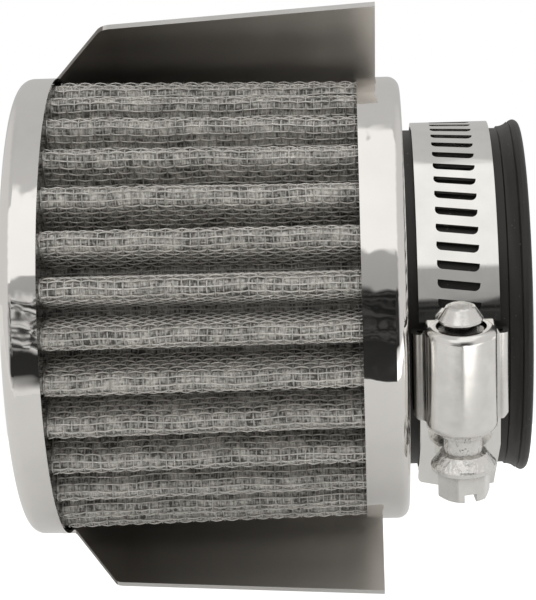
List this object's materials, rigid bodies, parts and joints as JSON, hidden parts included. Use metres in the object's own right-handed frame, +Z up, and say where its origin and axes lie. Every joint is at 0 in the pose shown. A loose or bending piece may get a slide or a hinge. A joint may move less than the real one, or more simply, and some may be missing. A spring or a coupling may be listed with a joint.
{
  "type": "motorcycle air filter",
  "caption": "Clamp-on pod air filter: pleated wire-and-gauze pack between chromed caps, rubber neck with worm-drive clamp and a chromed splash shield.",
  "frame": {"origin": "centre of the neck's mouth, on the bore's axis", "axes": "+X out of the neck along the filter's axis, +Z up, +Y to the back where the shield sits"},
  "size_m": [0.0829, 0.079, 0.0988],
  "materials": {
    "chrome": "bright chromed sheet steel",
    "steel": "bright rolled steel strip",
    "zinc_plate": "satin zinc plate",
    "screen_wire": "drawn wire, woven",
    "gauze": "fine woven gauze",
    "potting": "cast sealing compound",
    "rubber": "moulded, satin"
  },
  "bodies": {
    "filter": {"front_cap": "chrome", "base_cap": "chrome", "shield": "chrome", "shield_welds": "steel", "outer_screen": "screen_wire", "inner_screen": "screen_wire", "outer_gauze": "gauze", "inner_gauze": "gauze", "front_potting": "potting", "base_potting": "potting", "neck_sleeve": "rubber"},
    "clamp": {"clamp_band": "steel", "clamp_saddle": "zinc_plate", "clamp_housing": "zinc_plate"},
    "screw": {"clamp_screw": "zinc_plate"},
    "tail": {"clamp_band_tail": "steel"}
  },
  "joints": [
    {"name": "clamp_swivel", "type": "hinge", "parent": "filter", "child": "clamp", "pos_m": [-0.01163, 0, 0], "axis": [1, 0, 0], "continuous": true},
    {"name": "screw_turn", "type": "hinge", "parent": "clamp", "child": "screw", "pos_m": [-0.01163, -0.03209, -0.01168], "axis": [-0.0105, -0.342, 0.9396], "range_deg": [-180, 900]},
    {"name": "tail_slide", "type": "slide", "parent": "clamp", "child": "tail", "axis": [0, 0.4226, -0.9063], "range_m": [-0.0016, 0.0077]}
  ],
  "couplings": [
    {"joint": "tail_slide", "follows": "screw_turn", "m_per_rad": 0.00047746}
  ]
}
